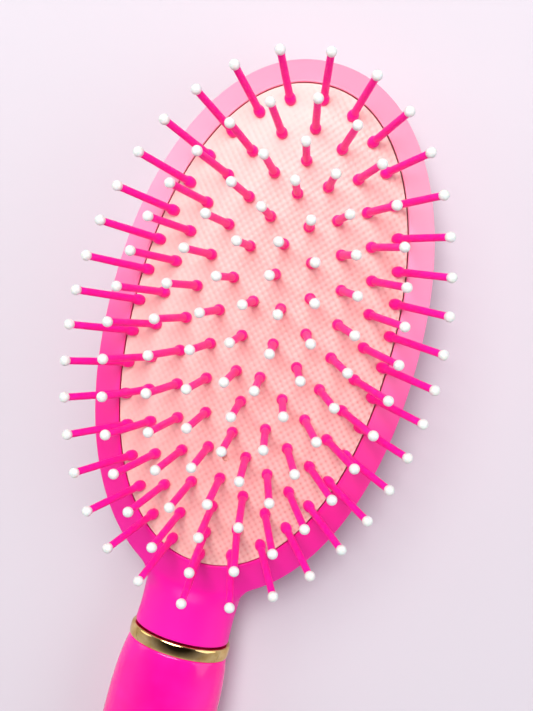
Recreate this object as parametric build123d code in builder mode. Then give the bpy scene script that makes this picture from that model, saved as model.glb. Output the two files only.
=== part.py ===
"""Oval cushion hair brush: a two-shell head with an air-cushion pad, ball-tipped pins and a hollow grip.

Frame: X across the head, +Y to the head's tip, +Z out of the bristle side. The brush lies on its back
on Z = 0, and the origin is under the middle of its box. All sizes are in millimetres.
"""

import math
import os

from build123d import *

# Overall places
HEAD_TIP_Y = 122.0
GRIP_END_Y = -122.0
HANDLE_AXIS_Z = 9.5  # middle plane of the handle, where the two head shells part
PAD_EDGE_Z = 18.5  # plane of the rim's inner lip

# Head outline, a superellipse
HEAD_HALF_WIDTH = 34.4
HEAD_HALF_LENGTH = 60.0
HEAD_EXPONENT = 2.13
RIM_EDGE_Z = 14.4  # the rim slopes down to here from its inner lip
RIM_ROUND = 0.9
RIM_LAND = 0.7  # flat width round the opening
SHELL_WALL = 2.2

# Opening that the pad fills
OPENING_HALF_WIDTH = 28.25
OPENING_HALF_LENGTH = 53.4
OPENING_EXPONENT = 2.14
OPENING_SHIFT = 1.3  # the opening sits nearer the tip than the head's own centre
WELL_TOP_Z = 14.2  # the thick rim ends here and the thin side wall begins

# Pad: domed rubber diaphragm with a skirt and a clamped flange
PAD_GAP = 0.3
PAD_WALL = 1.5
SKIRT_WALL = 1.1
DOME_HEIGHT = 2.85
DOME_POWER = 3.4
DOME_LEVELS = (0.95, 0.88, 0.76, 0.62, 0.45, 0.25)  # shares of the opening where the dome is drawn
FLANGE_HEIGHT = 1.4
FLANGE_OUT = 2.9  # how far the flange reaches under the rim
VENT_HOLE_D = 1.4
VENT_HOLE_Y = -28.35  # from the pad's centre

# Retainer ring and its screws
RETAINER_HEIGHT = 1.4
RETAINER_OUT = 2.6
STACK_GAP = 0.1
SCREW_COUNT = 8
SCREW_SHANK_D = 1.8
SCREW_THREAD_GAP = 0.03
SCREW_HOLE_GAP = 0.15
SCREW_GRIP = 2.1  # length of thread in the rim
SCREW_END_GAP = 0.3
SCREW_HEAD_D = 3.2
SCREW_HEAD_HEIGHT = 0.9
SCREW_RECESS_D = 1.5
SCREW_RECESS_DEPTH = 0.5
SCREW_OUTSET = 1.4  # from the opening's edge to the screw's axis

# Pins: how far each oval row lies inside the opening at its sides and ends, its exponent, its shift along Y
# and its count, then how far its pins splay outward at the sides, the tip and the neck, as slopes
PIN_ROWS = {
    "outer": (1.65, 3.1, 1.96, -0.4, 36, 0.785, 0.48, 0.37),
    "second": (6.45, 8.8, 1.84, -0.8, 30, 0.46, 0.26, 0.24),
    "third": (12.45, 15.2, 1.72, -1.1, 24, 0.23, 0.155, 0.13),
    "fourth": (18.55, 22.0, 1.52, -1.3, 18, 0.108, 0.115, 0.09),
}
END_SPLAY_POWER = 1.3  # the splay towards the ends grows faster than the distance from the middle
CENTRE_PAIRS = ((3.0, 6.1), (3.4, -1.5), (2.6, -9.1))
CENTRE_LINE = (19.3, 12.8, -15.2, -22.2)
CENTRE_SPLAY = (0.011, 0.002)  # slope across and along, per millimetre from the pad's centre
PIN_LENGTH = 17.7  # from the pad's surface to the middle of the ball
PIN_ROOT_R = 0.82
PIN_TIP_R = 0.75
FOOT_R = 1.2
FOOT_TOP = 1.0  # the foot's widest part ends here, above the pad
FOOT_BLEND = 2.3  # and runs into the shaft here
FOOT_SUNK = 0.3  # the foot's underside sits this far into its recess
PIN_NECK_R = 0.7
PIN_HOLE_GAP = 0.25
PIN_HEAD_R = 1.3
PIN_HEAD_HEIGHT = 0.7
PIN_HEAD_DEPTH = 2.25  # from the pad's surface to the head's upper face
BALL_R = 1.1
SPIGOT_R = 0.42
SPIGOT_GAP = 0.03
SPIGOT_PAST_MIDDLE = 0.35

# Neck, gold ring and tang
NECK_HALF_WIDTH = 11.1
NECK_HALF_HEIGHT = 7.9
NECK_WAIST_HALF_WIDTH = 10.8
NECK_WAIST_HALF_HEIGHT = 7.5
NECK_END = -73.0  # these places along Y are from the pad's centre
NECK_WAIST = -66.5
NECK_ROOT = -52.0
NECK_ROOT_HALF_WIDTH = 12.5
NECK_ROOT_HALF_HEIGHT = 5.2
REVEAL = 0.4  # shadow groove between the neck and the ring
RING_HALF_WIDTH = 11.8
RING_HALF_HEIGHT = 8.1
RING_LENGTH = 3.2
RING_CHAMFER = 0.35
TANG_HALF_WIDTH = 8.8
TANG_HALF_HEIGHT = 5.4
TANG_WALL = 2.0
TANG_LENGTH = 36.0
TANG_GAP = 0.06

# Grip: distance below the ring, half width and half height of its outline
GRIP_START = (11.6, 7.95)
GRIP_STATIONS = (
    (4.0, 12.35, 8.65),
    (12.0, 12.95, 9.35),
    (24.0, 12.9, 9.4),
    (45.0, 11.9, 8.7),
    (70.0, 10.6, 7.8),
    (92.0, 10.3, 7.6),
)
GRIP_END_HALF_WIDTH = 10.2
GRIP_END_HALF_HEIGHT = 7.5
GRIP_END_ROUND = 4.6
GRIP_WALL = 2.4

# Back shell
BACK_LEVELS = ((9.5, 1.0), (7.0, 0.985), (4.4, 0.93), (2.2, 0.83), (0.8, 0.7), (0.0, 0.55))
BACK_INNER_LEVELS = ((9.5, 0.936), (7.2, 0.92), (5.0, 0.87), (3.2, 0.765), (2.2, 0.6))
LIP_HEIGHT = 0.7
LIP_ROOT = 2.5
LIP_WALL = 0.8
LIP_GAP = 0.1

pad_y = HEAD_TIP_Y - HEAD_HALF_LENGTH + OPENING_SHIFT
head_y = HEAD_TIP_Y - HEAD_HALF_LENGTH
ring_top_y = pad_y + NECK_END - REVEAL
grip_top_y = ring_top_y - RING_LENGTH
flange_top_z = WELL_TOP_Z - STACK_GAP
flange_low_z = flange_top_z - FLANGE_HEIGHT
retainer_top_z = flange_low_z - STACK_GAP
retainer_low_z = retainer_top_z - RETAINER_HEIGHT
skirt_inset = PAD_GAP + SKIRT_WALL
shoulder = PIN_LENGTH - math.sqrt(BALL_R**2 - PIN_TIP_R**2)  # where the shaft meets the ball


def oval_point(half_width, half_length, exponent, turn):
    """Point of a superellipse at an angle measured clockwise from +Y."""
    sine, cosine = math.sin(turn), math.cos(turn)
    x = half_width * math.copysign(abs(sine) ** (2 / exponent), sine)
    y = half_length * math.copysign(abs(cosine) ** (2 / exponent), cosine)
    return x, y


def oval_face(z, half_width, half_length, exponent, centre_y, count=16):
    """Flat superellipse face at height z."""
    turns = [2 * math.pi * (i + 0.5) / count for i in range(count)]
    points = [oval_point(half_width, half_length, exponent, turn) for turn in turns]
    with BuildSketch(Plane((0, centre_y, z))) as face:
        with BuildLine():
            Spline(*points, periodic=True)
        make_face()
    return face.sketch


def head_face(z, share=1.0, inset=0.0):
    """Face of the head's outline, scaled and inset."""
    return oval_face(
        z,
        HEAD_HALF_WIDTH * share - inset,
        HEAD_HALF_LENGTH * share - inset,
        HEAD_EXPONENT,
        head_y,
    )


def opening_face(z, share=1.0, outset=0.0):
    """Face of the pad opening, scaled and outset."""
    return oval_face(
        z,
        OPENING_HALF_WIDTH * share + outset,
        OPENING_HALF_LENGTH * share + outset,
        OPENING_EXPONENT,
        pad_y,
    )


def side_face(y, half_width, half_height):
    """Upright elliptical face across the handle at y."""
    with BuildSketch(Plane.XZ.offset(-y)) as face:
        with Locations((0, HANDLE_AXIS_Z)):
            Ellipse(half_width, half_height)
    return face.sketch


def dome_rise(x, y):
    """Height of the pad's surface over its edge at (x, y) from the pad's centre."""
    across = abs(x) / OPENING_HALF_WIDTH
    along = abs(y) / OPENING_HALF_LENGTH
    share = (across**OPENING_EXPONENT + along**OPENING_EXPONENT) ** (1 / OPENING_EXPONENT)
    return DOME_HEIGHT * (1 - share**DOME_POWER)


def pin_plane(x, y, lean_x, lean_y):
    """Plane on the pad's surface at (x, y) from its centre, with the pin's axis as its normal."""
    origin = (x, pad_y + y, PAD_EDGE_Z + dome_rise(x, y))
    return Plane(origin=origin, z_dir=(lean_x, lean_y, 1), x_dir=(1, 0, -lean_x))


def row_planes(side_inset, end_inset, exponent, shift, count, side_splay, tip_splay, neck_splay):
    """Pin planes spaced evenly round an oval row, starting on the centre line at the tip."""
    half_width = OPENING_HALF_WIDTH - side_inset
    half_length = OPENING_HALF_LENGTH - end_inset
    fine = 2000
    turns = [2 * math.pi * i / fine for i in range(fine + 1)]
    path = [oval_point(half_width, half_length, exponent, turn) for turn in turns]
    run = [0.0]
    for a, b in zip(path, path[1:]):
        run.append(run[-1] + math.dist(a, b))
    planes = []
    for i in range(count):
        wanted = run[-1] * i / count
        x, y = path[min(range(fine + 1), key=lambda k: abs(run[k] - wanted))]
        along = abs(y / half_length) ** END_SPLAY_POWER
        lean_y = tip_splay * along if y > 0 else -neck_splay * along
        planes.append(pin_plane(x, y + shift, side_splay * x / half_width, lean_y))
    return planes


def centre_plane(x, y):
    """Pin plane in the middle of the pad, where the pins stand almost straight."""
    return pin_plane(x, y, CENTRE_SPLAY[0] * x, CENTRE_SPLAY[1] * y)


def screw_points():
    """Centres of the retainer's screws, between the ends and sides of the opening."""
    turns = [2 * math.pi * (i + 0.5) / SCREW_COUNT for i in range(SCREW_COUNT)]
    half_width = OPENING_HALF_WIDTH + SCREW_OUTSET
    half_length = OPENING_HALF_LENGTH + SCREW_OUTSET
    points = [oval_point(half_width, half_length, OPENING_EXPONENT, turn) for turn in turns]
    return [(x, pad_y + y) for x, y in points]


def write(part, name):
    part.label = name
    export_step(part, f"parts/{name}.step")


os.makedirs("parts", exist_ok=True)

pin_groups = {name: row_planes(*row) for name, row in PIN_ROWS.items()}
pin_groups["centre_line"] = [centre_plane(0, y) for y in CENTRE_LINE]
pin_groups["centre_pair"] = [centre_plane(side * x, y) for x, y in CENTRE_PAIRS for side in (-1, 1)]
all_pin_planes = [plane for planes in pin_groups.values() for plane in planes]

# Neck and tang, whole: the two head shells each take a half
with BuildPart() as neck:
    loft(
        [
            side_face(pad_y + NECK_ROOT, NECK_ROOT_HALF_WIDTH, NECK_ROOT_HALF_HEIGHT),
            side_face(pad_y + NECK_WAIST, NECK_WAIST_HALF_WIDTH, NECK_WAIST_HALF_HEIGHT),
            side_face(pad_y + NECK_END, NECK_HALF_WIDTH, NECK_HALF_HEIGHT),
        ]
    )
    tang_face = side_face(pad_y + NECK_END, TANG_HALF_WIDTH, TANG_HALF_HEIGHT)
    extrude(tang_face, amount=REVEAL + RING_LENGTH + TANG_LENGTH)

with BuildPart() as neck_bore:
    loft(
        [
            side_face(pad_y + NECK_ROOT, NECK_ROOT_HALF_WIDTH - SHELL_WALL, NECK_ROOT_HALF_HEIGHT - SHELL_WALL),
            side_face(pad_y + NECK_END, TANG_HALF_WIDTH - TANG_WALL, TANG_HALF_HEIGHT - TANG_WALL),
        ]
    )
    bore_face = side_face(pad_y + NECK_END, TANG_HALF_WIDTH - TANG_WALL, TANG_HALF_HEIGHT - TANG_WALL)
    extrude(bore_face, amount=REVEAL + RING_LENGTH + TANG_LENGTH + 1)

# Front shell: sloping rim round the pad, with its half of the neck and tang
with BuildPart() as front_shell:
    loft(
        [
            head_face(HANDLE_AXIS_Z),
            head_face(RIM_EDGE_Z),
            opening_face(PAD_EDGE_Z, outset=RIM_LAND),
        ],
        ruled=True,
    )
    rim_edges = front_shell.edges().filter_by_position(Axis.Z, RIM_EDGE_Z - 0.01, RIM_EDGE_Z + 0.01)
    fillet(rim_edges, radius=RIM_ROUND)
    add(neck.part)
    extrude(opening_face(WELL_TOP_Z - 1), amount=PAD_EDGE_Z, mode=Mode.SUBTRACT)
    extrude(head_face(HANDLE_AXIS_Z, inset=SHELL_WALL), amount=WELL_TOP_Z - HANDLE_AXIS_Z, mode=Mode.SUBTRACT)
    add(neck_bore.part, mode=Mode.SUBTRACT)
    split(bisect_by=Plane.XY.offset(HANDLE_AXIS_Z), keep=Keep.TOP)
    with BuildSketch(Plane.XY.offset(WELL_TOP_Z)):
        with Locations(*screw_points()):
            Circle(SCREW_SHANK_D / 2 + SCREW_THREAD_GAP)
    extrude(amount=SCREW_GRIP + SCREW_END_GAP, mode=Mode.SUBTRACT)
write(front_shell.part, "front_shell")

# Back shell: shallow bowl with a locating lip, and the other half of the neck and tang
with BuildPart() as back_shell:
    loft([head_face(z, share) for z, share in BACK_LEVELS], ruled=True)
    add(neck.part)
    loft([head_face(z, share) for z, share in BACK_INNER_LEVELS], ruled=True, mode=Mode.SUBTRACT)
    add(neck_bore.part, mode=Mode.SUBTRACT)
    split(bisect_by=Plane.XY.offset(HANDLE_AXIS_Z), keep=Keep.BOTTOM)
    lip_foot = HANDLE_AXIS_Z - LIP_ROOT
    extrude(head_face(lip_foot, inset=SHELL_WALL + LIP_GAP), amount=LIP_ROOT + LIP_HEIGHT)
    extrude(head_face(lip_foot, inset=SHELL_WALL + LIP_GAP + LIP_WALL), amount=LIP_ROOT + LIP_HEIGHT, mode=Mode.SUBTRACT)
write(back_shell.part, "back_shell")

# Pad: domed diaphragm, with a stepped hole for each pin, a vent hole, a skirt and a clamped flange
with BuildPart() as pin_hole:
    with BuildSketch(Plane.XZ):
        with BuildLine():
            Polyline(
                (0, -PIN_HEAD_DEPTH - 1),
                (PIN_NECK_R + PIN_HOLE_GAP, -PIN_HEAD_DEPTH - 1),
                (PIN_NECK_R + PIN_HOLE_GAP, -FOOT_SUNK - PIN_HOLE_GAP),
                (FOOT_R + PIN_HOLE_GAP, -FOOT_SUNK - PIN_HOLE_GAP),
                (FOOT_R + PIN_HOLE_GAP, FOOT_TOP),
                (0, FOOT_TOP),
                close=True,
            )
        make_face()
    revolve(axis=Axis.Z)

with BuildPart() as pad:
    shares = [(share, PAD_EDGE_Z + DOME_HEIGHT * (1 - share**DOME_POWER)) for share in DOME_LEVELS]
    loft(
        [opening_face(PAD_EDGE_Z, outset=-PAD_GAP)] + [opening_face(z, share) for share, z in shares],
        ruled=True,
    )
    extrude(opening_face(flange_low_z, outset=-PAD_GAP), amount=PAD_EDGE_Z - flange_low_z)
    extrude(opening_face(flange_low_z, outset=FLANGE_OUT), amount=FLANGE_HEIGHT)
    inner = [opening_face(flange_low_z, outset=-skirt_inset)]
    inner += [opening_face(PAD_EDGE_Z - PAD_WALL, outset=-skirt_inset)]
    inner += [opening_face(z - PAD_WALL, share) for share, z in shares[1:]]
    loft(inner, ruled=True, mode=Mode.SUBTRACT)
    with BuildSketch(Plane.XY.offset(flange_low_z)):
        with Locations(*screw_points()):
            Circle(SCREW_SHANK_D / 2 + SCREW_HOLE_GAP)
    extrude(amount=FLANGE_HEIGHT, mode=Mode.SUBTRACT)
    with BuildSketch(Plane.XY.offset(PAD_EDGE_Z)):
        with Locations((0, pad_y + VENT_HOLE_Y)):
            Circle(VENT_HOLE_D / 2)
    extrude(amount=DOME_HEIGHT + 1, mode=Mode.SUBTRACT)
    with Locations(*all_pin_planes):
        add(pin_hole.part, mode=Mode.SUBTRACT)
write(pad.part, "cushion_pad")

# Retainer: flat oval ring that clamps the pad's flange up against the rim
with BuildPart() as retainer:
    extrude(opening_face(retainer_low_z, outset=RETAINER_OUT), amount=RETAINER_HEIGHT)
    extrude(opening_face(retainer_low_z, outset=-skirt_inset), amount=RETAINER_HEIGHT, mode=Mode.SUBTRACT)
    with BuildSketch(Plane.XY.offset(retainer_low_z)):
        with Locations(*screw_points()):
            Circle(SCREW_SHANK_D / 2 + SCREW_HOLE_GAP)
    extrude(amount=RETAINER_HEIGHT, mode=Mode.SUBTRACT)
write(retainer.part, "pad_retainer")

# Retainer screws: pan heads with a round drive recess
with BuildPart() as screw:
    with BuildSketch():
        Circle(SCREW_SHANK_D / 2)
    extrude(amount=WELL_TOP_Z + SCREW_GRIP - retainer_low_z)
    with BuildSketch():
        Circle(SCREW_HEAD_D / 2)
    extrude(amount=-SCREW_HEAD_HEIGHT)
    fillet(screw.edges().sort_by(Axis.Z)[0], radius=SCREW_HEAD_HEIGHT * 0.4)
    with BuildSketch(Plane.XY.offset(-SCREW_HEAD_HEIGHT)):
        RegularPolygon(SCREW_RECESS_D / 2, 6)
    extrude(amount=SCREW_RECESS_DEPTH, mode=Mode.SUBTRACT)

with BuildPart() as screws:
    with Locations(*[(x, y, retainer_low_z) for x, y in screw_points()]):
        add(screw.part)
write(screws.part, "retainer_screws")

# One pin: head under the pad, neck through it, flared foot on it, tapering shaft and a thin spigot
with BuildPart() as pin:
    with BuildSketch(Plane.XZ):
        with BuildLine():
            Polyline(
                (FOOT_R * 0.8, -FOOT_SUNK),
                (PIN_NECK_R, -FOOT_SUNK),
                (PIN_NECK_R, -PIN_HEAD_DEPTH),
                (PIN_HEAD_R, -PIN_HEAD_DEPTH),
                (PIN_HEAD_R, -PIN_HEAD_DEPTH - PIN_HEAD_HEIGHT),
                (0, -PIN_HEAD_DEPTH - PIN_HEAD_HEIGHT),
                (0, PIN_LENGTH + SPIGOT_PAST_MIDDLE),
                (SPIGOT_R, PIN_LENGTH + SPIGOT_PAST_MIDDLE),
                (SPIGOT_R, shoulder),
                (PIN_TIP_R, shoulder),
                (PIN_ROOT_R, FOOT_BLEND),
            )
            Spline((PIN_ROOT_R, FOOT_BLEND), (FOOT_R, FOOT_TOP * 0.6), (FOOT_R * 0.8, -FOOT_SUNK))
        make_face()
    revolve(axis=Axis.Z)

# One ball tip: a sphere with a flat where the shaft meets it and a socket for the spigot
with BuildPart() as ball:
    with BuildSketch(Plane.XZ):
        with BuildLine():
            CenterArc((0, PIN_LENGTH), BALL_R, -90, 180)
            Line((0, PIN_LENGTH - BALL_R), (0, PIN_LENGTH + BALL_R))
        make_face()
        with Locations((0, shoulder - BALL_R)):
            Rectangle(2 * BALL_R, 2 * BALL_R, mode=Mode.SUBTRACT)
        with Locations((0, PIN_LENGTH)):
            socket_half = SPIGOT_PAST_MIDDLE + SPIGOT_GAP
            Rectangle(2 * (SPIGOT_R + SPIGOT_GAP), 2 * socket_half, mode=Mode.SUBTRACT)
        with Locations((0, shoulder)):
            Rectangle(2 * (SPIGOT_R + SPIGOT_GAP), 2 * (PIN_LENGTH - shoulder), mode=Mode.SUBTRACT)
    revolve(axis=Axis.Z)

for name, planes in pin_groups.items():
    with BuildPart() as pins:
        with Locations(*planes):
            add(pin.part)
    write(pins.part, f"{name}_pins")
    with BuildPart() as balls:
        with Locations(*planes):
            add(ball.part)
    write(balls.part, f"{name}_ball_tips")

# Gold ring between the neck and the grip
with BuildPart() as gold_ring:
    extrude(side_face(ring_top_y, RING_HALF_WIDTH, RING_HALF_HEIGHT), amount=RING_LENGTH)
    chamfer(gold_ring.edges(), length=RING_CHAMFER)
    ring_bore = side_face(ring_top_y, TANG_HALF_WIDTH + TANG_GAP, TANG_HALF_HEIGHT + TANG_GAP)
    extrude(ring_bore, amount=RING_LENGTH, mode=Mode.SUBTRACT)
write(gold_ring.part, "gold_ring")

# Grip: smooth hollow handle with a socket for the tang
with BuildPart() as grip:
    start = side_face(grip_top_y, *GRIP_START)
    outline = [side_face(grip_top_y - run, *size) for run, *size in GRIP_STATIONS]
    end = side_face(GRIP_END_Y, GRIP_END_HALF_WIDTH, GRIP_END_HALF_HEIGHT)
    loft([start] + outline + [end])
    fillet(grip.faces().sort_by(Axis.Y)[0].edges(), radius=GRIP_END_ROUND)
    socket_face = side_face(grip_top_y, TANG_HALF_WIDTH + TANG_GAP, TANG_HALF_HEIGHT + TANG_GAP)
    extrude(socket_face, amount=TANG_LENGTH + 1, mode=Mode.SUBTRACT)
    hollow = [(run, width - GRIP_WALL, height - GRIP_WALL) for run, width, height in GRIP_STATIONS[3:]]
    loft([side_face(grip_top_y - run, *size) for run, *size in hollow], mode=Mode.SUBTRACT)
write(grip.part, "grip")
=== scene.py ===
"""Looks of an oval cushion hair brush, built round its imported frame.

Frame: X across the head, +Y to the head's tip, +Z out of the bristle side. Sizes below are in millimetres and
are turned to metres where a mesh is made.
"""

import math

import bmesh
import bpy
from mathutils import Matrix, Vector


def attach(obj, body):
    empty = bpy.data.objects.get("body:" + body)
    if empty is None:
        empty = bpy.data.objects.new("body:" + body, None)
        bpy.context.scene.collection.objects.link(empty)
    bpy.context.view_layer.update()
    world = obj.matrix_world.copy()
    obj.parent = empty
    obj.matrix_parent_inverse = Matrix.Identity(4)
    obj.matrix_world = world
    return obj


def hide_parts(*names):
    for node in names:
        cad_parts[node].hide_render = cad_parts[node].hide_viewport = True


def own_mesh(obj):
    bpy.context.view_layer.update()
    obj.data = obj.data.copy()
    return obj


bl_info = {
    "name": "Oval cushion brush",
    "version": (1, 0, 0),
    "blender": (4, 5, 0),
    "location": "3D View > Sidebar > Brush",
    "description": "Shells, pad, pins, ring and grip of an oval cushion hair brush",
    "category": "Object",
}

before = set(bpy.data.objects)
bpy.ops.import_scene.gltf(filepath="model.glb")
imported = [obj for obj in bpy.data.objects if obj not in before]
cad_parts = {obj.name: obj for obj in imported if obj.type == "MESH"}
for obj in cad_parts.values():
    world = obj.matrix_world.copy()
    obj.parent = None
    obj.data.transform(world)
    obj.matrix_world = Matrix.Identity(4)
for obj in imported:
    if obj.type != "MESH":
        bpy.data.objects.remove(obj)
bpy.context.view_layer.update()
MM = 0.001

# Places and outlines shared with the frame
PAD_CENTRE_Y = 63.3
HEAD_CENTRE_Y = 62.0
PARTING_Z = 9.5  # plane where the two head shells meet, and the handle's axis
LIP_Z = 18.5
HEAD = (34.4, 60.0, 2.13)  # half width, half length and exponent of the head's outline
OPENING = (28.25, 53.4, 2.14)
RIM_EDGE_Z = 14.4
WELL_TOP_Z = 14.2
SHELL_WALL = 2.2
NECK_END_Y = PAD_CENTRE_Y - 73.0
RING_TOP_Y = NECK_END_Y - 0.4
RING_LENGTH = 3.2
GRIP_TOP_Y = RING_TOP_Y - RING_LENGTH
GRIP_END_Y = -122.0
TANG = (8.8, 5.4)
TANG_END_Y = GRIP_TOP_Y - 36.0
HANDLE_BORE = (8.86, 5.46)  # of ring and grip, over the tang
FLANGE_TOP_Z, FLANGE_LOW_Z = 14.1, 12.7
FLANGE_OUT = 2.9  # how far the pad's flange reaches under the rim
SKIRT_INSET = 1.4  # inner face of the pad's skirt
PIT_PITCH = (1.55, 1.78)  # between pits, across and along; each cell has one more pit at its middle
VENT_Y = -28.35  # from the pad's centre
COLUMNS = 144  # round the head
HANDLE_COLUMNS = 96  # round ring and grip


def linear(hex_colour):
    """Linear RGBA of an sRGB hex colour."""
    parts = [int(hex_colour[i : i + 2], 16) / 255 for i in (1, 3, 5)]
    return [c / 12.92 if c <= 0.04045 else ((c + 0.055) / 1.055) ** 2.4 for c in parts] + [1.0]


# ---------------------------------------------------------------- geometry helpers


def oval(half_width, half_length, exponent, turn, centre_y):
    """Point of a superellipse, with the turn measured from -Y towards +X."""
    sine, cosine = math.sin(turn), math.cos(turn)
    x = half_width * math.copysign(abs(sine) ** (2 / exponent), sine)
    y = -half_length * math.copysign(abs(cosine) ** (2 / exponent), cosine)
    return x, centre_y + y


def even_turns(count):
    """Turns that space points evenly round the head's outline, starting at -Y."""
    fine = 4000
    path = [oval(*HEAD, 2 * math.pi * i / fine, 0) for i in range(fine + 1)]
    run = [0.0]
    for a, b in zip(path, path[1:]):
        run.append(run[-1] + math.dist(a, b))
    turns, k = [], 0
    for i in range(count):
        wanted = run[-1] * i / count
        while run[k + 1] < wanted:
            k += 1
        part = (wanted - run[k]) / (run[k + 1] - run[k])
        turns.append(2 * math.pi * (k + part) / fine)
    return turns


TURNS = even_turns(COLUMNS)
NECK_COLUMNS = 6  # columns either side of the centre line that run on into the neck


def opening_point(turn, outset=0.0):
    half_width, half_length, exponent = OPENING
    return oval(half_width + outset, half_length + outset, exponent, turn, PAD_CENTRE_Y)


def head_point(turn, share=1.0, inset=0.0):
    half_width, half_length, exponent = HEAD
    return oval(half_width * share - inset, half_length * share - inset, exponent, turn, HEAD_CENTRE_Y)


def hermite(start, start_run, end, end_run, t):
    """Point of a cubic from start to end with the given directions at its ends."""
    return (
        start * (2 * t**3 - 3 * t**2 + 1)
        + start_run * (t**3 - 2 * t**2 + t)
        + end * (-2 * t**3 + 3 * t**2)
        + end_run * (t**3 - t**2)
    )


def as_object(name, bm, smooth_angle=40):
    """Mesh object in metres from a bmesh in millimetres."""
    bmesh.ops.recalc_face_normals(bm, faces=bm.faces[:])
    bmesh.ops.scale(bm, vec=(MM, MM, MM), verts=bm.verts[:])
    mesh = bpy.data.meshes.new(name)
    bm.to_mesh(mesh)
    bm.free()
    obj = bpy.data.objects.new(name, mesh)
    bpy.context.scene.collection.objects.link(obj)
    mesh.shade_smooth()
    mesh.set_sharp_from_angle(angle=math.radians(smooth_angle))
    return obj


def apply_modifiers(obj):
    bpy.context.view_layer.update()
    graph = bpy.context.evaluated_depsgraph_get()
    mesh = bpy.data.meshes.new_from_object(obj.evaluated_get(graph))
    obj.modifiers.clear()
    obj.data = mesh


def subdivide(obj, levels):
    """Catmull-Clark subdivision, applied."""
    modifier = obj.modifiers.new("round", "SUBSURF")
    modifier.levels = modifier.render_levels = levels
    apply_modifiers(obj)
    obj.data.shade_smooth()
    obj.data.set_sharp_from_angle(angle=math.radians(40))


def crease_loop(bm, verts, closed=True, value=1.0):
    layers = bm.edges.layers.float
    layer = layers.get("crease_edge") or layers.new("crease_edge")
    pairs = list(zip(verts, verts[1:]))
    if closed:
        pairs.append((verts[-1], verts[0]))
    for a, b in pairs:
        edge = bm.edges.get((a, b))
        if edge:
            edge[layer] = value


def bridge(bm, upper, lower, closed=True):
    """Quads between two rows of vertices."""
    count = len(upper)
    for i in range(count if closed else count - 1):
        k = (i + 1) % count
        bm.faces.new((upper[i], upper[k], lower[k], lower[i]))


def ellipse_ring(bm, y, half_width, half_height):
    """Upright ring of vertices round the handle's axis."""
    ring = []
    for i in range(HANDLE_COLUMNS):
        turn = 2 * math.pi * i / HANDLE_COLUMNS
        point = (half_width * math.cos(turn), y, PARTING_Z + half_height * math.sin(turn))
        ring.append(bm.verts.new(point))
    return ring


def elliptical_body(name, rows, closed_back, levels):
    """Solid whose rows are (y, half width, half height); they end in caps or close on themselves."""
    bm = bmesh.new()
    rings = [ellipse_ring(bm, *row) for row in rows]
    for upper, lower in zip(rings, rings[1:]):
        bridge(bm, upper, lower)
    if closed_back:
        bridge(bm, rings[-1], rings[0])
    else:
        bm.faces.new(rings[0])
        bm.faces.new(rings[-1])
    obj = as_object(name, bm)
    subdivide(obj, levels)
    return obj


# ---------------------------------------------------------------- shells


def neck_section(y, half_width, half_height, shares, up):
    """Points of half an ellipse across the handle, from its right side over or under to its left."""
    points = []
    for share in shares:
        turn = math.pi * share
        points.append(Vector((half_width * math.cos(turn), y, PARTING_Z + up * half_height * math.sin(turn))))
    return points


def run_shares(points):
    run = [0.0]
    for a, b in zip(points, points[1:]):
        run.append(run[-1] + (b - a).length)
    return [r / run[-1] for r in run]


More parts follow.
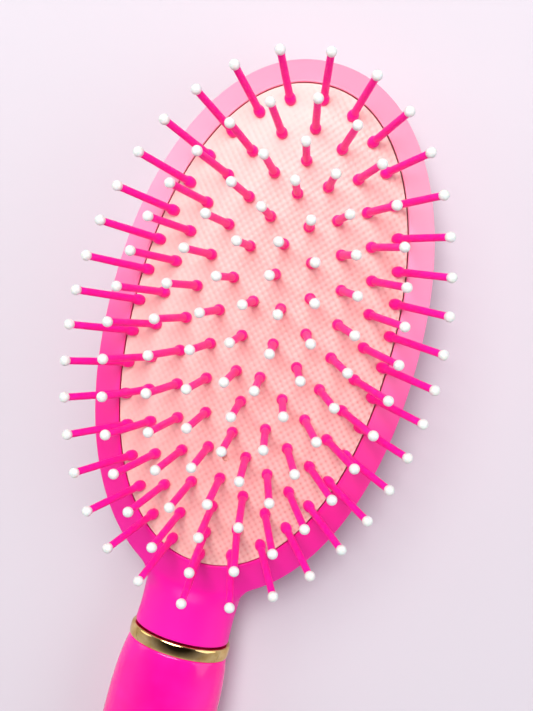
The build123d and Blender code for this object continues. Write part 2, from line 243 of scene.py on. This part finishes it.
def head_shell(loops, neck_row, outer_row, up, end_drop):
    """Closed shell of the head with its half of the neck and tang.

    loops are functions of a turn giving a point, from the middle of the head out to the parting plane and
    back inside. The columns of the neck stop at neck_row, and outer_row is the last row outside, on the
    parting plane. up is 1 for the front half and -1 for the back, and end_drop bends the shoulder there.
    """
    bm = bmesh.new()
    side = NECK_COLUMNS
    in_neck = [i < side or i > COLUMNS - side for i in range(COLUMNS)]
    rows = []
    for index, loop in enumerate(loops):
        skip = neck_row < index <= outer_row
        row = [None if skip and in_neck[i] else bm.verts.new(loop(TURNS[i])) for i in range(COLUMNS)]
        rows.append(row)
    for upper, lower in zip(rows, rows[1:]):
        for i in range(COLUMNS):
            k = (i + 1) % COLUMNS
            corners = [upper[i], upper[k], lower[k], lower[i]]
            if None not in corners:
                bm.faces.new(corners)
    order = [i % COLUMNS for i in range(side, -side - 1, -1)]  # right corner, over the neck, left corner
    right, left = order[0], order[-1]
    walls = list(range(outer_row, neck_row, -1))
    start = [rows[r][right] for r in walls] + [rows[neck_row][i] for i in order]
    start += [rows[r][left] for r in reversed(walls)]
    points = [v.co.copy() for v in start]
    shares = run_shares(points)
    stations = [
        (PAD_CENTRE_Y - 64.0, 10.95, 7.35),
        (PAD_CENTRE_Y - 67.0, 10.85, 7.5),
        (PAD_CENTRE_Y - 70.3, 10.92, 7.68),
        (NECK_END_Y + 0.45, 11.08, 7.88),
        (NECK_END_Y + 0.12, 11.05, 7.86),
        (NECK_END_Y, 10.85, 7.68),
    ]
    first = neck_section(*stations[0], shares, up)
    sections = []
    blend_steps = 5
    for step in range(1, blend_steps):
        t = step / blend_steps
        row = []
        for a, b, share in zip(points, first, shares):
            lean = math.cos(math.pi * share)  # 1 at the right side, -1 at the left
            sideways = -math.copysign(abs(lean) ** 2.5, lean)
            reach = a.y - b.y
            away = Vector((sideways * 3.2, -reach * (1 - 0.3 * abs(lean) ** 3), end_drop * (1 - abs(lean))))
            row.append(hermite(a, away, b, Vector((0, -reach * 0.9, 0.15 * up)), t))
        sections.append(row)
    sections.append(first)
    sections += [neck_section(*station, shares, up) for station in stations[1:]]
    tang_rows = [(NECK_END_Y, *TANG), (NECK_END_Y - 0.3, *TANG), (TANG_END_Y, *TANG)]
    sections += [neck_section(*row, shares, up) for row in tang_rows]
    grid = [start]
    for row in sections:
        row[0].z = row[-1].z = PARTING_Z
        grid.append([bm.verts.new(p) for p in row])
        bridge(bm, grid[-2], grid[-1], closed=False)
    # The flat underside on the parting plane
    for near, far in zip(grid[1:], grid[2:]):
        bm.faces.new((near[0], near[-1], far[-1], far[0]))
    inner = [rows[outer_row + 1][i] for i in order]
    bm.faces.new([start[0]] + inner + [start[-1], grid[1][-1], grid[1][0]])
    bm.faces.new(grid[-1])
    crease_loop(bm, rows[outer_row + 1])
    crease_loop(bm, [rows[outer_row][i] for i in range(side, COLUMNS - side + 1)], closed=False)
    for end in (0, -1):
        crease_loop(bm, [row[end] for row in grid], closed=False)
    crease_loop(bm, grid[-1], closed=False)
    crease_loop(bm, grid[-2], closed=False, value=0.5)
    crease_loop(bm, grid[-3], closed=False)
    return bm, rows


def rim_point(turn, share, drop=0.0):
    """Point on the front rim's slope, from its lip (share 0) to its edge (share 1)."""
    inner, outer = opening_point(turn, 0.7), head_point(turn)
    x = inner[0] + (outer[0] - inner[0]) * share
    y = inner[1] + (outer[1] - inner[1]) * share
    z = LIP_Z + (RIM_EDGE_Z - LIP_Z) * share - drop
    if outer[1] < HEAD_CENTRE_Y and abs(outer[0]) < 16:  # the slope runs out into the neck
        z += 1.5 * share**1.5 * (1 - (outer[0] / 16) ** 2) ** 1.5
    return x, y, z


def front_loops():
    def well(z):
        return lambda turn: (*opening_point(turn), z)

    def slope(share, drop=0.0):
        return lambda turn: rim_point(turn, share, drop)

    def wall(z, inset=0.0):
        return lambda turn: (*head_point(turn, inset=inset), z)

    return [
        well(WELL_TOP_Z),
        well(LIP_Z - 0.9),
        well(LIP_Z - 0.22),
        lambda turn: (*opening_point(turn, 0.05), LIP_Z - 0.06),
        lambda turn: (*opening_point(turn, 0.22), LIP_Z),
        lambda turn: (*opening_point(turn, 0.6), LIP_Z - 0.02),
        slope(0.12),
        slope(0.35),
        slope(0.62),
        slope(0.85),
        slope(0.965, 0.03),
        wall(RIM_EDGE_Z - 0.22),
        wall(RIM_EDGE_Z - 0.7),
        wall(12.0),
        wall(PARTING_Z + 0.35),
        wall(PARTING_Z + 0.12, 0.02),
        wall(PARTING_Z, 0.14),
        wall(PARTING_Z, SHELL_WALL),
        wall(WELL_TOP_Z, SHELL_WALL),
    ]


def back_loops():
    def level(z, share, inset=0.0):
        return lambda turn: (*head_point(turn, share, inset), z)

    return [
        level(0.0, 0.3),
        level(0.0, 0.5),
        level(0.12, 0.6),
        level(0.75, 0.7),
        level(2.1, 0.83),
        level(4.4, 0.93),
        level(7.0, 0.985),
        level(PARTING_Z - 0.35, 1.0),
        level(PARTING_Z - 0.12, 1.0, 0.02),
        level(PARTING_Z, 1.0, 0.14),
        level(PARTING_Z, 1.0, SHELL_WALL),
        level(5.0, 0.88),
        level(3.2, 0.765),
        level(2.2, 0.6),
        level(2.2, 0.3),
    ]


# ---------------------------------------------------------------- pad


def pad_share(x, y):
    half_width, half_length, exponent = OPENING
    across, along = abs(x) / half_width, abs(y) / half_length
    return (across**exponent + along**exponent) ** (1 / exponent)


def pad_turn(x, y):
    """Turn of the superellipse point that lies in the direction of (x, y)."""
    half_width, half_length, exponent = OPENING
    sine = math.copysign((abs(x) / half_width) ** (exponent / 2), x)
    cosine = math.copysign((abs(y) / half_length) ** (exponent / 2), -y)
    return math.atan2(sine, cosine)


# ---------------------------------------------------------------- materials


def add_node(tree, kind, links=None, **settings):
    """Adds a node, sets its properties and inputs, and links its inputs to other nodes' outputs."""
    node = tree.nodes.new(kind)
    for key, value in settings.items():
        if hasattr(node, key):
            setattr(node, key, value)
        else:
            node.inputs[key].default_value = value
    for socket, source in (links or {}).items():
        tree.links.new(source, node.inputs[socket])
    return node


def new_material(name):
    material = bpy.data.materials.new(name)
    material.use_nodes = True
    tree = material.node_tree
    tree.nodes.clear()
    shader = add_node(tree, "ShaderNodeBsdfPrincipled")
    add_node(tree, "ShaderNodeOutputMaterial", {"Surface": shader.outputs["BSDF"]})
    return material, tree, shader


def set_inputs(node, **values):
    for key, value in values.items():
        node.inputs[key.replace("_", " ")].default_value = value


def ramp(tree, source, stops, interpolation="LINEAR"):
    """Colour ramp over (place, hex colour) stops."""
    node = add_node(tree, "ShaderNodeValToRGB", {"Fac": source})
    node.color_ramp.interpolation = interpolation
    elements = node.color_ramp.elements
    while len(elements) < len(stops):
        elements.new(0.5)
    for element, (place, colour) in zip(elements, stops):
        element.position = place
        element.color = linear(colour)
    return node.outputs["Color"]


def place_mm(tree):
    """Object coordinates in millimetres."""
    where = add_node(tree, "ShaderNodeTexCoord")
    scale = add_node(tree, "ShaderNodeVectorMath", {0: where.outputs["Object"]}, operation="SCALE")
    scale.inputs["Scale"].default_value = 1000.0
    return scale.outputs["Vector"]


def moulded_bump(tree, shader, position, grain_mm, height_mm, strength=0.3):
    """Fine unevenness of a moulded surface."""
    noise = add_node(tree, "ShaderNodeTexNoise", {"Vector": position}, Scale=1 / grain_mm, Detail=2.0)
    bump = add_node(tree, "ShaderNodeBump", {"Height": noise.outputs["Fac"]}, Strength=strength)
    bump.inputs["Distance"].default_value = height_mm * MM
    tree.links.new(bump.outputs["Normal"], shader.inputs["Normal"])
    return noise


def painted_abs(look):
    """Painted ABS, sprayed from a light pink at the tip to magenta at the neck: an even satin sheen."""
    material, tree, shader = new_material("painted_abs")
    position = place_mm(tree)
    parts = add_node(tree, "ShaderNodeSeparateXYZ", {"Vector": position})
    noise = add_node(tree, "ShaderNodeTexNoise", {"Vector": position}, Scale=0.03, Detail=1.0)
    drift = add_node(tree, "ShaderNodeMath", {0: noise.outputs["Fac"]}, operation="MULTIPLY_ADD")
    drift.inputs[1].default_value = 10.0
    drift.inputs[2].default_value = -5.0
    along = add_node(tree, "ShaderNodeMath", {0: parts.outputs["Y"], 1: drift.outputs[0]}, operation="ADD")
    share = add_node(tree, "ShaderNodeMapRange", {"Value": along.outputs[0]})
    share.inputs["From Min"].default_value = PAD_CENTRE_Y - 62
    share.inputs["From Max"].default_value = PAD_CENTRE_Y + 62
    colour = ramp(
        tree,
        share.outputs["Result"],
        [
            (0.0, look.neck_paint),
            (0.22, look.low_paint),
            (0.38, look.middle_paint),
            (0.6, look.high_paint),
            (0.76, look.pale_paint),
            (1.0, look.tip_paint),
        ],
    )
    tree.links.new(colour, shader.inputs["Base Color"])
    set_inputs(shader, Roughness=0.42, IOR=1.4)
    moulded_bump(tree, shader, position, 0.35, 0.01, 0.12)
    return material


def grip_abs(look):
    """Glossy ABS, moulded in one colour and polished by the mould: sharp white highlights."""
    material, tree, shader = new_material("glossy_abs")
    position = place_mm(tree)
    noise = moulded_bump(tree, shader, position, 9.0, 0.02, 0.25)
    colour = ramp(tree, noise.outputs["Fac"], [(0.35, look.grip_deep), (0.65, look.grip_light)])
    tree.links.new(colour, shader.inputs["Base Color"])
    set_inputs(shader, Roughness=0.14, IOR=1.42, Coat_Weight=0.12, Coat_Roughness=0.04)
    return material


def pad_rubber(look):
    """Thermoplastic rubber, moulded with a lattice of small pits: a low sheen, with painted shade in the
    pits.
    """
    material, tree, shader = new_material("embossed_rubber")
    position = place_mm(tree)
    parts = add_node(tree, "ShaderNodeSeparateXYZ", {"Vector": position})
    # A pit wherever both waves peak together, in step with the pits of the mesh
    squares = []
    for wave in ("COSINE", "SINE"):
        waves = []
        for axis, length in zip("XY", PIT_PITCH):
            turn = add_node(tree, "ShaderNodeMath", {0: parts.outputs[axis]}, operation="MULTIPLY")
            turn.inputs[1].default_value = math.pi / length
            waves.append(add_node(tree, "ShaderNodeMath", {0: turn.outputs[0]}, operation=wave).outputs[0])
        product = add_node(tree, "ShaderNodeMath", {0: waves[0], 1: waves[1]}, operation="MULTIPLY")
        both = {0: product.outputs[0], 1: product.outputs[0]}
        square = add_node(tree, "ShaderNodeMath", both, operation="MULTIPLY")
        squares.append(square.outputs[0])
    pits = add_node(tree, "ShaderNodeMath", {0: squares[0], 1: squares[1]}, operation="ADD")
    sharp = add_node(tree, "ShaderNodeMath", {0: pits.outputs[0]}, operation="POWER")
    sharp.inputs[1].default_value = 2.0
    noise = add_node(tree, "ShaderNodeTexNoise", {"Vector": position}, Scale=0.9, Detail=3.0)
    uneven = add_node(tree, "ShaderNodeMath", {0: noise.outputs["Fac"]}, operation="MULTIPLY_ADD")
    uneven.inputs[1].default_value = 0.9
    uneven.inputs[2].default_value = 0.35
    factors = {0: sharp.outputs[0], 1: uneven.outputs[0]}
    broken = add_node(tree, "ShaderNodeMath", factors, operation="MULTIPLY")
    # Painted shade: the pits' shade is painted deeper towards the right and the neck, where the light grazes
    # them; their bump deepens with it
    slant = add_node(tree, "ShaderNodeMath", {0: parts.outputs["Y"]}, operation="MULTIPLY_ADD")
    slant.inputs[1].default_value = -0.25
    tree.links.new(parts.outputs["X"], slant.inputs[2])
    pit_shade_slant = add_node(tree, "ShaderNodeMapRange", {"Value": slant.outputs[0]})
    for key, value in {"From Min": -34.0, "From Max": 12.0, "To Min": 0.12, "To Max": 1.0}.items():
        pit_shade_slant.inputs[key].default_value = value
    depth = add_node(tree, "ShaderNodeMath", {0: broken.outputs[0], 1: pit_shade_slant.outputs[0]}, operation="MULTIPLY")
    # Painted shade: the rubber's colour darkens with the pits' depth, standing in for the shade inside them
    colour = ramp(
        tree, depth.outputs[0], [(0.0, look.pad_light), (0.45, look.pad_half_shade), (1.0, look.pad_pit_shade)]
    )
    tree.links.new(colour, shader.inputs["Base Color"])
    bump = add_node(tree, "ShaderNodeBump", {"Height": depth.outputs[0]}, Strength=0.9, invert=True)
    bump.inputs["Distance"].default_value = 0.12 * MM
    tree.links.new(bump.outputs["Normal"], shader.inputs["Normal"])
    set_inputs(shader, Roughness=0.42, IOR=1.5, Subsurface_Weight=0.12, Subsurface_Scale=0.001)
    set_inputs(shader, Subsurface_Radius=(1.0, 0.45, 0.35))
    return material


def pin_nylon(look):
    """Nylon, dyed and moulded: light passes a little way in, so the pins glow where they are thin."""
    material, tree, shader = new_material("dyed_nylon")
    position = place_mm(tree)
    noise = moulded_bump(tree, shader, position, 1.2, 0.01, 0.15)
    colour = ramp(tree, noise.outputs["Fac"], [(0.35, look.pin_deep), (0.65, look.pin_light)])
    tree.links.new(colour, shader.inputs["Base Color"])
    set_inputs(shader, Roughness=0.45, IOR=1.4, Subsurface_Weight=0.3, Subsurface_Scale=0.0012)
    set_inputs(shader, Subsurface_Radius=(1.0, 0.15, 0.5))
    return material


def ball_nylon(look):
    """Nylon, dipped over the pins' ends: a milky white with a soft shine."""
    material, tree, shader = new_material("milky_nylon")
    position = place_mm(tree)
    noise = moulded_bump(tree, shader, position, 0.6, 0.008, 0.15)
    colour = ramp(tree, noise.outputs["Fac"], [(0.3, look.ball_shade), (0.7, look.ball_light)])
    tree.links.new(colour, shader.inputs["Base Color"])
    set_inputs(shader, Roughness=0.3, IOR=1.53, Subsurface_Weight=0.2, Subsurface_Scale=0.0008)
    return material


def gold_plate(look):
    """Metallised plastic under a gold lacquer: a mirror with faint waves and tiny marks."""
    material, tree, shader = new_material("metallised_gold")
    position = place_mm(tree)
    noise = moulded_bump(tree, shader, position, 2.2, 0.05, 0.35)
    colour = ramp(tree, noise.outputs["Fac"], [(0.3, look.gold_deep), (0.7, look.gold_light)])
    tree.links.new(colour, shader.inputs["Base Color"])
    set_inputs(shader, Metallic=1.0, Roughness=0.09)
    return material


def inner_plastic(look):
    """ABS, moulded with a fine texture and left bare: dull and even."""
    material, tree, shader = new_material("bare_abs")
    position = place_mm(tree)
    noise = moulded_bump(tree, shader, position, 0.4, 0.02, 0.4)
    colour = ramp(tree, noise.outputs["Fac"], [(0.3, "#c9c2bd"), (0.7, "#dcd6d2")])
    tree.links.new(colour, shader.inputs["Base Color"])
    set_inputs(shader, Roughness=0.55, IOR=1.5)
    return material


def screw_steel(look):
    """Carbon steel, cold headed and zinc plated: a grey metal with a broken sheen."""
    material, tree, shader = new_material("zinc_plated_steel")
    position = place_mm(tree)
    noise = moulded_bump(tree, shader, position, 0.5, 0.02, 0.3)
    colour = ramp(tree, noise.outputs["Fac"], [(0.3, "#9a9ca1"), (0.7, "#c2c4c8")])
    tree.links.new(colour, shader.inputs["Base Color"])
    set_inputs(shader, Metallic=1.0, Roughness=0.35)
    return material


def paint(obj, material):
    """Puts one material on every face of an object."""
    obj.data.materials.clear()
    obj.data.materials.append(material)


def paint_node(name, material):
    """Puts a material in every slot of a CAD node."""
    for material_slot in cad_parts[name].material_slots:
        material_slot.material = material


# ---------------------------------------------------------------- settings


def colour_text(name, description, default):
    return bpy.props.StringProperty(name=name, description=description, default=default)


class BrushColours(bpy.types.PropertyGroup):
    """Colours of the brush's pieces, as sRGB hex."""

    tip_paint: colour_text("Tip paint", "Paint at the head's tip", "#ff88a6")
    pale_paint: colour_text("Pale paint", "Palest paint, a little below the tip", "#ffa4c0")
    high_paint: colour_text("Upper paint", "Paint above the pad's middle", "#fe92be")
    middle_paint: colour_text("Middle paint", "Paint a little below the pad's middle", "#f8389c")
    low_paint: colour_text("Lower paint", "Paint near the neck", "#f40a94")
    neck_paint: colour_text("Neck paint", "Paint on the neck", "#f40aa4")
    grip_deep: colour_text("Grip, deep", "Deeper colour of the grip", "#f20c92")
    grip_light: colour_text("Grip, light", "Lighter colour of the grip", "#fa16a0")
    pad_light: colour_text("Pad", "Rubber between the pits", "#f4c4bd")
    # Painted shade in the pad's pits, from their sides to their bottom
    pad_half_shade: colour_text("Pad, pit side", "Rubber on the sides of the pits", "#eeb2ab")
    pad_pit_shade: colour_text("Pad, pit", "Rubber at the bottom of the pits", "#dc918d")
    pin_deep: colour_text("Pin, deep", "Deeper colour of the pins", "#f40a98")
    pin_light: colour_text("Pin, light", "Lighter colour of the pins", "#fc0fa6")
    ball_shade: colour_text("Ball, shade", "Shaded colour of the ball tips", "#cdd7d4")
    ball_light: colour_text("Ball", "Colour of the ball tips", "#dfe8e5")
    gold_deep: colour_text("Gold, deep", "Deeper colour of the gold ring", "#cfae68")
    gold_light: colour_text("Gold", "Colour of the gold ring", "#e6cd92")
    floor: colour_text("Floor", "Colour of the floor", "#cccad3")


class BrushSizes(bpy.types.PropertyGroup):
    """Sizes of the visible details."""

    dome_height: bpy.props.FloatProperty(
        name="Dome height", description="Rise of the pad over the rim, in mm", default=2.85, min=0.5, max=6
    )
    dome_power: bpy.props.FloatProperty(
        name="Dome power", description="How flat the pad's middle is", default=3.4, min=2, max=6
    )
    pad_gap: bpy.props.FloatProperty(
        name="Pad gap", description="Gap between pad and rim, in millimetres", default=0.3, min=0.05, max=1
    )
    pit_depth: bpy.props.FloatProperty(
        name="Pit depth", description="Depth of the pad's small pits, in mm", default=0.1, min=0, max=0.3
    )
    vent_width: bpy.props.FloatProperty(
        name="Vent hole", description="Width of the pad's air hole, in mm", default=1.4, min=0.5, max=3
    )
    camera_lens: bpy.props.FloatProperty(
        name="Lens", description="Focal length of the camera, in millimetres", default=54.08, min=20, max=150
    )


def looks():
    return bpy.context.scene.brush_colours


def sizes():
    return bpy.context.scene.brush_sizes


# ---------------------------------------------------------------- operators


class BRUSH_OT_shells(bpy.types.Operator):
    """Makes the painted front and back shells of the head, with the neck"""

    bl_idname = "brush.shells"
    bl_label = "Head shells"

    def execute(self, context):
        painted = painted_abs(looks())
        bm, rows = head_shell(front_loops(), 9, 16, 1, -0.8)
        bridge(bm, rows[-1], rows[0])
        for row in (rows[0], rows[-1]):
            crease_loop(bm, row)
        front = as_object("front_shell_painted", bm)
        subdivide(front, 2)
        bm, rows = head_shell(back_loops(), 4, 9, -1, 0.9)
        bm.faces.new(rows[0])
        bm.faces.new(rows[-1])
        back = as_object("back_shell_painted", bm)
        subdivide(back, 2)
        for obj, node in ((front, "front_shell"), (back, "back_shell")):
            paint(obj, painted)
            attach(obj, "handle")
            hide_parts(node)
        return {"FINISHED"}


class BRUSH_OT_pad(bpy.types.Operator):
    """Makes the domed rubber pad with its pits, air hole, skirt and flange"""

    bl_idname = "brush.pad"
    bl_label = "Pad"

    def execute(self, context):
        size = sizes()
        half_width, half_length, exponent = OPENING
        edge_share = 1 - size.pad_gap / half_width
        pitch_x, pitch_y = PIT_PITCH
        step_x, step_y = pitch_x / 6, pitch_y / 6
        across, along = int(half_width / step_x) + 2, int(half_length / step_y) + 2
        vent_radius = size.vent_width / 2

        def edge_point(turn, outset):
            return oval(half_width + outset, half_length + outset, exponent, turn, 0)

        def height(x, y):
            share = min(pad_share(x, y), 1.0)
            rise = size.dome_height * (1 - share**size.dome_power)
            turn_x = math.pi * x / pitch_x
            turn_y = math.pi * (y + PAD_CENTRE_Y) / pitch_y
            pits = (math.cos(turn_x) * math.cos(turn_y)) ** 2 + (math.sin(turn_x) * math.sin(turn_y)) ** 2
            fade = min(1.0, max(0.0, (1 - share) / 0.03))
            return LIP_Z + rise - size.pit_depth * pits**2 * fade

        bm = bmesh.new()
        grid = {}
        inside = {}
        for i in range(-across, across + 1):
            for k in range(-along, along + 1):
                inside[i, k] = pad_share(i * step_x, k * step_y) < edge_share

        def vertex(i, k):
            if (i, k) not in grid:
                x, y = i * step_x, k * step_y
                if not inside[i, k]:
                    x, y = edge_point(pad_turn(x, y), -size.pad_gap)
                grid[i, k] = bm.verts.new((x, y, height(x, y)))
            return grid[i, k]

        for i in range(-across, across):
            for k in range(-along, along):
                corners = [(i, k), (i + 1, k), (i + 1, k + 1), (i, k + 1)]
                away = [math.hypot(c[0] * step_x, c[1] * step_y - VENT_Y) for c in corners]
                if max(away) < vent_radius + 0.12 or not any(inside[c] for c in corners):
                    continue
                bm.faces.new([vertex(*c) for c in corners])
        bmesh.ops.remove_doubles(bm, verts=bm.verts[:], dist=0.004)
        bm.verts.ensure_lookup_table()
        border = [e for e in bm.edges if e.is_boundary]
        hole = [e for e in border if math.hypot(e.verts[0].co.x, e.verts[0].co.y - VENT_Y) < 3]
        rim = [e for e in border if e not in set(hole)]
        # The air hole: its edge made round, then a wall down
        for vert in {v for e in hole for v in e.verts}:
            offset = Vector((vert.co.x, vert.co.y - VENT_Y))
            offset = offset.normalized() * vent_radius
            vert.co.x, vert.co.y = offset.x, VENT_Y + offset.y
        out = bmesh.ops.extrude_edge_only(bm, edges=hole)["geom"]
        low = {g for g in out if isinstance(g, bmesh.types.BMVert)}
        for vert in low:
            vert.co.z -= 1.4
        foot = [g for g in out if isinstance(g, bmesh.types.BMEdge) and g.is_boundary]
        bmesh.ops.holes_fill(bm, edges=foot)
        # Skirt, flange and underside
        levels = [
            (-size.pad_gap, LIP_Z - 1.2),
            (-size.pad_gap, FLANGE_TOP_Z),
            (FLANGE_OUT, FLANGE_TOP_Z),
            (FLANGE_OUT, FLANGE_LOW_Z),
            (-SKIRT_INSET, FLANGE_LOW_Z),
            (-SKIRT_INSET, 16.6),
        ]
        edges = rim
        for outset, z in levels:
            out = bmesh.ops.extrude_edge_only(bm, edges=edges)["geom"]
            for vert in {g for g in out if isinstance(g, bmesh.types.BMVert)}:
                x, y = edge_point(pad_turn(vert.co.x, vert.co.y), outset)
                vert.co = (x, y, z)
            edges = [g for g in out if isinstance(g, bmesh.types.BMEdge) and g.is_boundary]
        bmesh.ops.holes_fill(bm, edges=edges)
        bmesh.ops.translate(bm, vec=(0, PAD_CENTRE_Y, 0), verts=bm.verts[:])
        pad = as_object("cushion_pad_embossed", bm, smooth_angle=50)
        paint(pad, pad_rubber(looks()))
        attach(pad, "handle")
        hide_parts("cushion_pad")
        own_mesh(pad)
        return {"FINISHED"}


class BRUSH_OT_pins(bpy.types.Operator):
    """Finishes the nylon pins and their ball tips"""

    bl_idname = "brush.pins"
    bl_label = "Pins and ball tips"

    def execute(self, context):
        pins, balls = pin_nylon(looks()), ball_nylon(looks())
        for name in sorted(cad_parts):
            if name.endswith("_pins"):
                paint_node(name, pins)
            if name.endswith("_ball_tips"):
                paint_node(name, balls)
        return {"FINISHED"}


class BRUSH_OT_ring(bpy.types.Operator):
    """Makes the gold ring between neck and grip"""

    bl_idname = "brush.ring"
    bl_label = "Gold ring"

    def execute(self, context):
        y, length = RING_TOP_Y, RING_LENGTH
        rows = [
            (y, *HANDLE_BORE),
            (y, 11.2, 7.5),
            (y, 11.42, 7.72),
            (y - 0.1, 11.62, 7.92),
            (y - 0.38, 11.78, 8.08),
            (y - length / 2, 11.86, 8.16),
            (y - length + 0.38, 11.78, 8.08),
            (y - length + 0.1, 11.62, 7.92),
            (y - length, 11.42, 7.72),
            (y - length, 11.2, 7.5),
            (y - length, *HANDLE_BORE),
        ]
        ring = elliptical_body("gold_ring_plated", rows, closed_back=True, levels=1)
        paint(ring, gold_plate(looks()))
        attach(ring, "handle")
        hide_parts("gold_ring")
        return {"FINISHED"}


class BRUSH_OT_grip(bpy.types.Operator):
    """Makes the glossy grip"""

    bl_idname = "brush.grip"
    bl_label = "Grip"

    def execute(self, context):
        top, end = GRIP_TOP_Y, GRIP_END_Y
        outline = [
            (top - 0.6, 11.72, 8.05),
            (top - 4, 12.35, 8.65),
            (top - 8, 12.75, 9.1),
            (top - 12, 12.95, 9.33),
            (top - 18, 13.0, 9.42),
            (top - 24, 12.9, 9.4),
            (top - 34, 12.45, 9.1),
            (top - 45, 11.9, 8.7),
            (top - 57, 11.2, 8.2),
            (top - 70, 10.6, 7.8),
            (top - 82, 10.35, 7.63),
            (top - 92, 10.3, 7.6),
            (end + 9, 10.25, 7.55),
            (end + 5.2, 10.2, 7.5),
        ]
        cap = []
        for i in range(1, 7):
            turn = math.radians(15 * i)
            inset = 4.6 * (1 - math.cos(turn))
            cap.append((end + 4.6 * (1 - math.sin(turn)), 10.2 - inset, 7.5 - inset))
        rows = [
            (top - 38, *HANDLE_BORE),
            (top - 0.6, *HANDLE_BORE),
            (top, *HANDLE_BORE),
            (top, 9.6, 6.2),
            (top, 11.1, 7.45),
            (top, 11.38, 7.72),
            (top - 0.12, 11.58, 7.92),
        ]
        rows += outline + cap + [(end, 3.0, 1.6)]
        grip = elliptical_body("grip_glossy", rows, closed_back=False, levels=2)
        paint(grip, grip_abs(looks()))
        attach(grip, "handle")
        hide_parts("grip")
        return {"FINISHED"}


class BRUSH_OT_fixings(bpy.types.Operator):
    """Finishes the pad's retainer and its screws, inside the head"""

    bl_idname = "brush.fixings"
    bl_label = "Retainer and screws"

    def execute(self, context):
        paint_node("pad_retainer", inner_plastic(looks()))
        paint_node("retainer_screws", screw_steel(looks()))
        return {"FINISHED"}


class BRUSH_OT_stage(bpy.types.Operator):
    """Makes the floor, the studio light and the camera"""

    bl_idname = "brush.stage"
    bl_label = "Stage"

    def execute(self, context):
        scene = context.scene
        scene.view_settings.view_transform = "Standard"
        self.make_floor()
        self.make_world(scene)
        right = Vector((0.96132, 0.26217, -0.0844))
        up = Vector((-0.27073, 0.95581, -0.11458))
        toward = Vector((0.05063, 0.133, 0.98982))
        target = Vector((0, PAD_CENTRE_Y, LIP_Z)) * MM
        lights = [
            ("key", -0.15, 0.3, 0.95, 0.42, 6.6, "#fffaf6"),
            ("fill", 0.85, -0.15, 0.75, 0.7, 2.1, "#fff4fb"),
            ("left", -1.0, 0.3, 0.5, 0.45, 0.8, "#fffcfa"),
        ]
        for name, x, y, z, size, power, colour in lights:
            data = bpy.data.lights.new(name, "AREA")
            data.shape = "DISK"
            data.size = size
            data.energy = power
            data.color = linear(colour)[:3]
            light = bpy.data.objects.new(name, data)
            light.location = target + (right * x + up * y + toward * z) * 0.75
            light.rotation_euler = (target - light.location).to_track_quat("-Z", "Y").to_euler()
            scene.collection.objects.link(light)
        camera_data = bpy.data.cameras.new("camera")
        camera_data.lens = sizes().camera_lens
        camera_data.sensor_width = 36
        camera_data.sensor_fit = "AUTO"
        camera_data.clip_start = 0.01
        camera = bpy.data.objects.new("camera", camera_data)
        turn = Matrix((right, up, toward)).transposed()
        camera.matrix_world = Matrix.Translation(Vector((14.17, 89.11, 245.75)) * MM) @ turn.to_4x4()
        scene.collection.objects.link(camera)
        scene.camera = camera
        return {"FINISHED"}

    def make_floor(self):
        bm = bmesh.new()
        bmesh.ops.create_grid(bm, x_segments=8, y_segments=8, size=2500)
        floor = as_object("floor", bm)
        floor.location.z = -0.0002
        material, _, shader = new_material("matt_paper")
        shader.inputs["Base Color"].default_value = linear(looks().floor)
        set_inputs(shader, Roughness=0.8, IOR=1.4)
        paint(floor, material)

    def make_world(self, scene):
        world = bpy.data.worlds.new("studio")
        world.use_nodes = True
        tree = world.node_tree
        tree.nodes.clear()
        where = add_node(tree, "ShaderNodeTexCoord")
        parts = add_node(tree, "ShaderNodeSeparateXYZ", {"Vector": where.outputs["Generated"]})
        sky = ramp(
            tree,
            parts.outputs["Z"],
            [(0.0, "#f6f0f6"), (0.45, "#efe8f0"), (0.8, "#8c8489"), (0.93, "#2a2527"), (1.0, "#171415")],
        )
        background = add_node(tree, "ShaderNodeBackground", {"Color": sky}, Strength=0.72)
        add_node(tree, "ShaderNodeOutputWorld", {"Surface": background.outputs[0]})
        scene.world = world


class BRUSH_PT_panel(bpy.types.Panel):
    """Lists the brush's pieces, colours and sizes"""

    bl_idname = "BRUSH_PT_panel"
    bl_label = "Cushion brush"
    bl_space_type = "VIEW_3D"
    bl_region_type = "UI"
    bl_category = "Brush"

    def draw(self, context):
        for operator in OPERATORS:
            self.layout.operator(operator.bl_idname)
        for group in (looks(), sizes()):
            for name in group.__annotations__:
                self.layout.prop(group, name)


OPERATORS = (
    BRUSH_OT_shells,
    BRUSH_OT_pad,
    BRUSH_OT_pins,
    BRUSH_OT_ring,
    BRUSH_OT_grip,
    BRUSH_OT_fixings,
    BRUSH_OT_stage,
)
CLASSES = (BrushColours, BrushSizes, *OPERATORS, BRUSH_PT_panel)


def register():
    for cls in CLASSES:
        bpy.utils.register_class(cls)
    bpy.types.Scene.brush_colours = bpy.props.PointerProperty(type=BrushColours)
    bpy.types.Scene.brush_sizes = bpy.props.PointerProperty(type=BrushSizes)


def unregister():
    del bpy.types.Scene.brush_colours
    del bpy.types.Scene.brush_sizes
    for cls in reversed(CLASSES):
        bpy.utils.unregister_class(cls)


def main():
    register()
    bpy.ops.brush.shells()
    bpy.ops.brush.pad()
    bpy.ops.brush.pins()
    bpy.ops.brush.ring()
    bpy.ops.brush.grip()
    bpy.ops.brush.fixings()
    bpy.ops.brush.stage()


if __name__ == "__main__":
    main()
